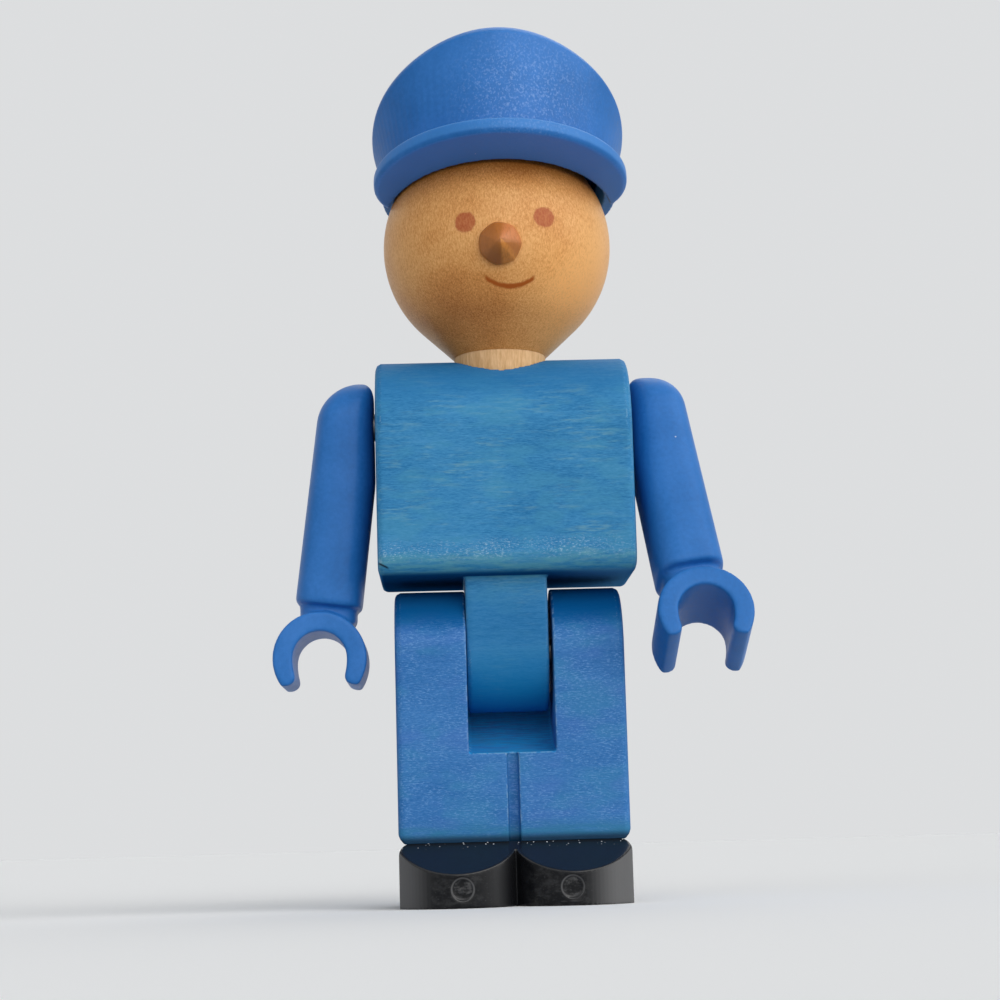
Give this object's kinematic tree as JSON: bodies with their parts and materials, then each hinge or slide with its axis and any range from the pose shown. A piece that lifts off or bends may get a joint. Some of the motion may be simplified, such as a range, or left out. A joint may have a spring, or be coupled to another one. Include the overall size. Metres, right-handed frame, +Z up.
{
  "type": "jointed wooden toy figure",
  "caption": "Small standing wooden toy figure with a ball head and loose peaked cap, pinned hip, turning plastic arms with clip hands and moulded black shoes.",
  "frame": {"origin": "middle of the flat sole under the legs, on the ground", "axes": "+Z up through the head, -Y the way the face looks, +X to the figure's left hand"},
  "size_m": [0.05, 0.0311, 0.0942],
  "materials": {
    "shoes": "satin black moulding, scuffed",
    "leg_block": "blue stain over open grain",
    "hip_pin": "drawn wire",
    "torso_block": "blue stain with paler grain streaks",
    "shoulder_axle": "drawn wire",
    "arm_left": "blue moulding, semi-matt",
    "arm_right": "blue moulding, semi-matt",
    "neck_dowel": "bare pale wood",
    "head_ball": "clear lacquer, printed eyes and mouth",
    "nose_peg": "red-brown stain, end grain showing",
    "cap": "blue moulding, semi-matt"
  },
  "bodies": {
    "legs": {"leg_block": "leg_block", "shoes": "shoes", "hip_pin": "hip_pin"},
    "torso": {"torso_block": "torso_block", "shoulder_axle": "shoulder_axle"},
    "left_arm": {"arm_left": "arm_left"},
    "right_arm": {"arm_right": "arm_right"},
    "head": {"head_ball": "head_ball", "neck_dowel": "neck_dowel", "nose_peg": "nose_peg"},
    "cap_body": {"cap": "cap"}
  },
  "joints": [
    {"name": "hip_bend", "type": "hinge", "parent": "legs", "child": "torso", "pos_m": [0, 0, 0.0266], "axis": [1, 0, 0], "range_deg": [-55, 90]},
    {"name": "shoulder_left", "type": "hinge", "parent": "torso", "child": "left_arm", "pos_m": [0.0139, 0, 0.0516], "axis": [-1, 0, 0], "continuous": true},
    {"name": "shoulder_right", "type": "hinge", "parent": "torso", "child": "right_arm", "pos_m": [-0.0139, 0, 0.0516], "axis": [-1, 0, 0], "continuous": true},
    {"name": "head_turn", "type": "hinge", "parent": "torso", "child": "head", "pos_m": [0, 0, 0.07137], "axis": [0, 0, 1], "continuous": true},
    {"name": "cap_lift", "type": "slide", "parent": "head", "child": "cap_body", "axis": [0, 0.1651, 0.9863], "range_m": [0, 0.018]}
  ]
}
